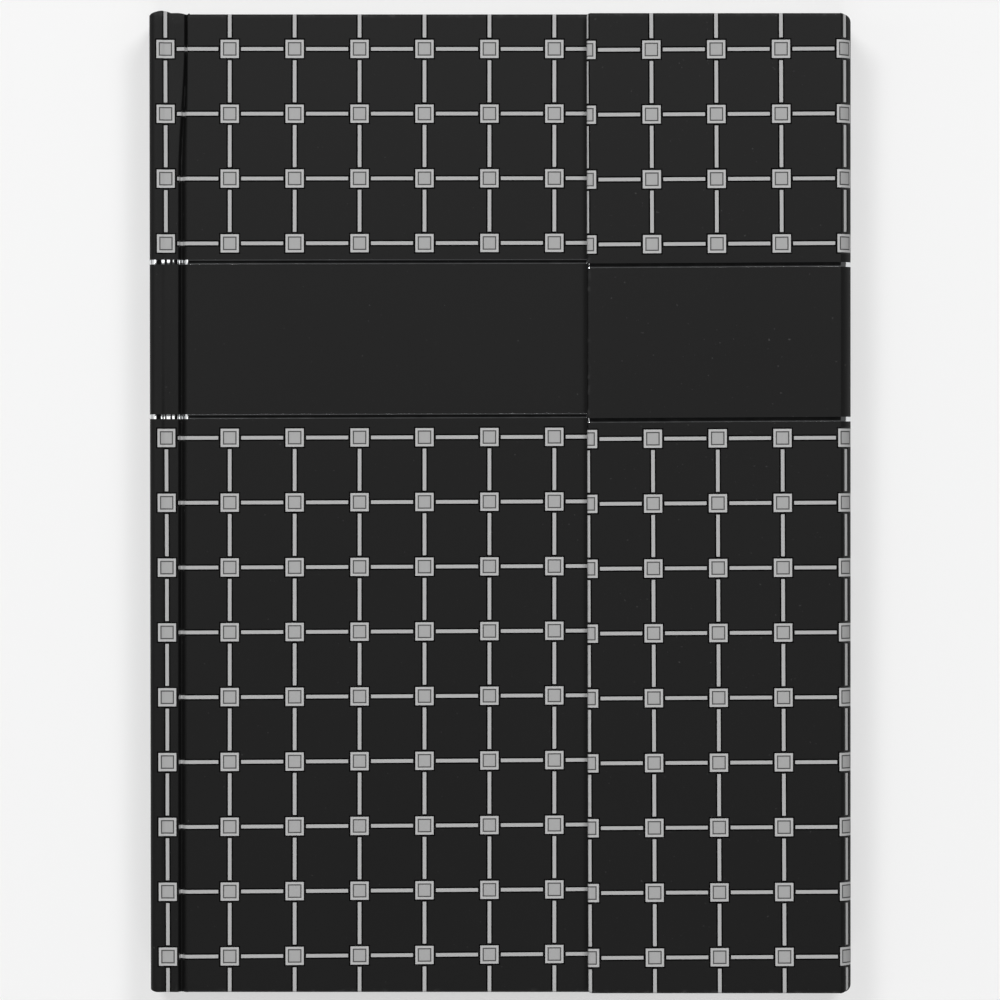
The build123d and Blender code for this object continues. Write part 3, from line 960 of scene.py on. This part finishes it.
# Depth, edge radius, turn-in, material, trim of the ends, closed sides
thin = (STRIP_DEPTH, STRIP_EDGE, NARROW_TURN_IN)
strips = {
    "upper_fold": (*thin, flap_laminate, fold_trim),
    "fore_edge": (FLAP_DEPTH, PANEL_EDGE, NARROW_TURN_IN, flap_laminate, None, True),
    "lower_fold": (*thin, flap_laminate, lambda share, y: fold_trim(1 - share, y)),
    "back_cover": (BACK_DEPTH, BOARD_EDGE, TURN_IN, back_laminate, None, True),
    "back_joint": (*thin, back_laminate),
    "spine": (SPINE_DEPTH, BOARD_EDGE, NARROW_TURN_IN, spine_laminate, spine_trim, True),
    "front_joint": (*thin, front_laminate, cap_trim),
}
coverings = {
    "front_cover": panel_piece(
        "front_cover_covering", JOINT_END, FRONT_EDGE, COVER_TOP, FRONT_DEPTH,
        lambda x, y: front_print(x - JOINT_END, y), front_laminate),
    "flap": panel_piece(
        "flap_covering", FOLD_X, FLAP_EDGE, FLAP_TOP, FLAP_DEPTH,
        lambda x, y: flap_print(x - FLAP_EDGE, y), flap_laminate, FLAP_EDGE_LEAN),
}
for part, settings in strips.items():
    coverings[part] = strip_piece(f"{part}_covering", *case_parts[part], *settings)

# The front's foil is another pressing than the flap's, and it lies softer on the joint
front_pressing = (FOIL_ROWS, FOIL_RIM, FRONT_HEAD_RIM)
joint_pressing = (FOIL_ROWS, JOINT_RIM, JOINT_RIM)
flap_pressing = (FLAP_FOIL_ROWS, FOIL_RIM, FLAP_HEAD_RIM)
pressings = {"spine": front_pressing, "front_joint": joint_pressing, "front_cover": front_pressing}
foils = {}
for part, settings in case_parts.items():
    foils[part] = foil_piece(f"{part}_foil", *settings, *pressings.get(part, flap_pressing))

# The stiff parts of the case ride on the body of their name and cover these nodes. The others stay where
# they lie; benders lists the two bodies and the two points that each lies between
stiff_parts = {
    "front_cover": ["front_wrap"],
    "flap": ["flap_wrap"],
    "fore_edge": ["fore_edge_wrap", "fore_edge_board"],
    "back_cover": ["back_wrap"],
    "spine": ["spine_wrap"],
}
benders = {
    "upper_fold": ("fore_edge", "flap", (RIGHT, 0, FLAP_TOP - UPPER_FOLD), (FOLD_X, 0, FLAP_TOP)),
    "lower_fold": ("back_cover", "fore_edge", (RIGHT - LOWER_FOLD, 0, 0), (RIGHT, 0, LOWER_FOLD)),
    "back_joint": ("back_cover", "spine", (LEFT + SPINE_EDGE, 0, 0), (LEFT, 0, SPINE_EDGE)),
    "front_joint": ("spine", "front_cover", (LEFT, 0, SPINE_TOP), (LEFT + SPINE_EDGE, 0, COVER_TOP)),
}
for part in [*stiff_parts, *benders]:
    for piece in (coverings[part], foils[part]):
        if part in stiff_parts:
            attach(piece, part)
        else:
            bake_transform(piece)
    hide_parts(*stiff_parts.get(part, [part]))

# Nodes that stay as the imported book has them: matt black endpaper, rough grey board, satin plated steel
# with broad spangle, and dull dark ferrite with a fine grain
endpaper = fibre_paper("black_uncoated_endpaper", "#161616", "#242424", 0.8 * MM, 0.85)
grey_board = fibre_paper("grey_bookbinding_board", "#7E7A72", "#9B968C", 0.6 * MM, 0.9)
zinc_steel = cloudy_metal("zinc_plated_steel", "#9A9EA2", "#C2C6C9", 4 * MM, 4.0, 0.32, 0.46)
ferrite = cloudy_metal("pressed_ferrite", "#2B2B2D", "#414144", 0.3 * MM, 4.0, 0.54, 0.68, 0.0)
plain_nodes = {
    zinc_steel: ["closure_plates"],
    ferrite: ["flap_magnets"],
    endpaper: ["front_pastedown", "back_pastedown", "spine_liner", "fore_edge_liner", "flap_liner",
               "front_flyleaf", "back_flyleaf"],
    grey_board: ["front_board", "back_board", "spine_board", "flap_board"],
}
for material, names in plain_nodes.items():
    for name in names:
        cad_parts[name].data.materials.clear()
        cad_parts[name].data.materials.append(material)

# The text block: each section's leaves, with its tab below the tab of the section before it
leaf_pile, thread_band = leaf_pile_tree(), thread_band_tree()
paper, ink, silk, gauze = writing_paper(), printing_ink(), band_silk(), mull_gauze()
body_sections = {"front_leaves": SECTIONS[:3], "middle_leaves": SECTIONS[3:6], "back_cover": SECTIONS[6:]}
for body, sections in body_sections.items():
    for section in sections:
        order = SECTIONS.index(section)
        low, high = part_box(f"leaves_{section}")
        rise = (high.z - low.z) / LEAVES
        tab_bottom = PAGE_HIGH.y - (order + 1) * TAB_HEIGHT
        leaves = leaf_piece(f"{section}_leaves", tab_bottom, low.z + (rise - LEAF) / 2)
        grow(
            leaves, leaf_pile, Count=LEAVES, Rise=rise, Shuffle=LEAF_SHUFFLE, Seed=SEED + order,
            Paper=paper)
        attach(leaves, body)
        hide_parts(f"leaves_{section}")
for body, sections in body_sections.items():
    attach(letters_piece(f"{body}_letters", sections), body)

# The back of the block, which bends where the front half turns over: mull, and a silk band at each end
low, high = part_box("spine_lining")
lining_points = [
    (low.x, y, z)
    for z in spread(low.z, high.z, LINING_ROWS) for y in spread(low.y, high.y, LINING_COLUMNS)
]
lining_faces = grid_faces(LINING_ROWS + 1, LINING_COLUMNS + 1)
lining = mesh_piece("mull_lining", lining_points, lining_faces, gauze, thickness=high.x - low.x)
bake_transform(lining)
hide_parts("spine_lining")
for node in ("head_band", "tail_band"):
    low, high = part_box(node)
    radius = (high.x - low.x) / 2
    turns = int((high.z - low.z) / BAND_THREAD)
    core = [
        (math.cos(a) * (radius - BAND_THREAD), math.sin(a) * (radius - BAND_THREAD), z)
        for z in spread(0, (turns - 1) * BAND_THREAD, turns) for a in spread(0, 2 * math.pi, BAND_SIDES)
    ]
    band = mesh_piece(f"silk_{node}", core, grid_faces(turns + 1, BAND_SIDES + 1, flip=True), silk)
    grow(band, thread_band, Count=turns, Thread=BAND_THREAD, Radius=radius - BAND_THREAD / 2, Silk=silk)
    turn = band.data.attributes.new("turn", "FLOAT", "POINT")
    turn.data.foreach_set("value", [round(v.co.z / BAND_THREAD) for v in band.data.vertices])
    place = ((low.x + high.x) / 2, (low.y + high.y) / 2, low.z + BAND_THREAD / 2)
    band.data.transform(Matrix.Translation(place))
    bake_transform(band)
    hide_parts(node)

# Studio: a pale floor, soft boxes at the sides, and a room that is dark overhead
corners = [(-1, -1), (1, -1), (1, 1), (-1, 1)]
floor_mesh = bpy.data.meshes.new("floor")
floor_mesh.from_pydata(
    [(x * FLOOR_REACH, y * FLOOR_REACH, -FLOOR_DROP) for x, y in corners], [], [(0, 1, 2, 3)])
floor_mesh.materials.append(studio_paint())
add_object("floor", floor_mesh)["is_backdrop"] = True

# Place, width, height, power: the main light is a pair of boxes at the head, the others fill in
soft_boxes = {
    "head_left_box": ((-0.6, 0.9, 1.5), 0.55, 0.45, 14),
    "head_right_box": ((0.6, 0.9, 1.5), 0.55, 0.45, 14),
    "tail_box": ((0.0, -1.05, 1.3), 0.7, 0.4, 3.4),
    "left_box": ((-0.9, 0.0, 0.6), 0.4, 0.8, 0.8),
    "low_tail_box": ((0.0, -1.15, 0.6), 0.8, 0.3, 3),
    "left_strip": ((-0.75, 0.1, 1.2), 0.12, 0.5, 0.35),
    "right_strip": ((0.75, 0.1, 1.2), 0.12, 0.5, 0.35),
}
for name, (place, width, height, power) in soft_boxes.items():
    lamp = bpy.data.lights.new(name, "AREA")
    lamp.shape = "RECTANGLE"
    lamp.size, lamp.size_y, lamp.energy = width, height, power
    box = add_object(name, lamp)
    box.location = place
    box.rotation_euler = (-Vector(place)).to_track_quat("-Z", "Y").to_euler()

world = bpy.data.worlds.new("studio_room")
bpy.context.scene.world = world
add = empty_tree(world)
direction = add("ShaderNodeTexCoord").outputs["Generated"]
upward = add("ShaderNodeSeparateXYZ", {0: direction}).outputs["Z"]
room = add("ShaderNodeValToRGB", {0: upward})
set_ramp(room, [(0.0, grey(0.1)), (0.5, grey(0.09)), (0.92, grey(0.075)), (0.985, grey(0.005))])
light = add("ShaderNodeBackground", {"Color": room})
add("ShaderNodeOutputWorld", {"Surface": light})

# Camera: straight down on the cover
camera_data = bpy.data.cameras.new("camera")
camera_data.sensor_width = SENSOR
camera_data.lens = LENS
camera = add_object("camera", camera_data)
camera.location = (CAMERA_X, CAMERA_Y, COVER_TOP + FRAME_RISE + FRAME_WIDTH * LENS / SENSOR)
bpy.context.scene.camera = camera
bpy.context.scene.view_settings.view_transform = "Standard"

low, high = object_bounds()
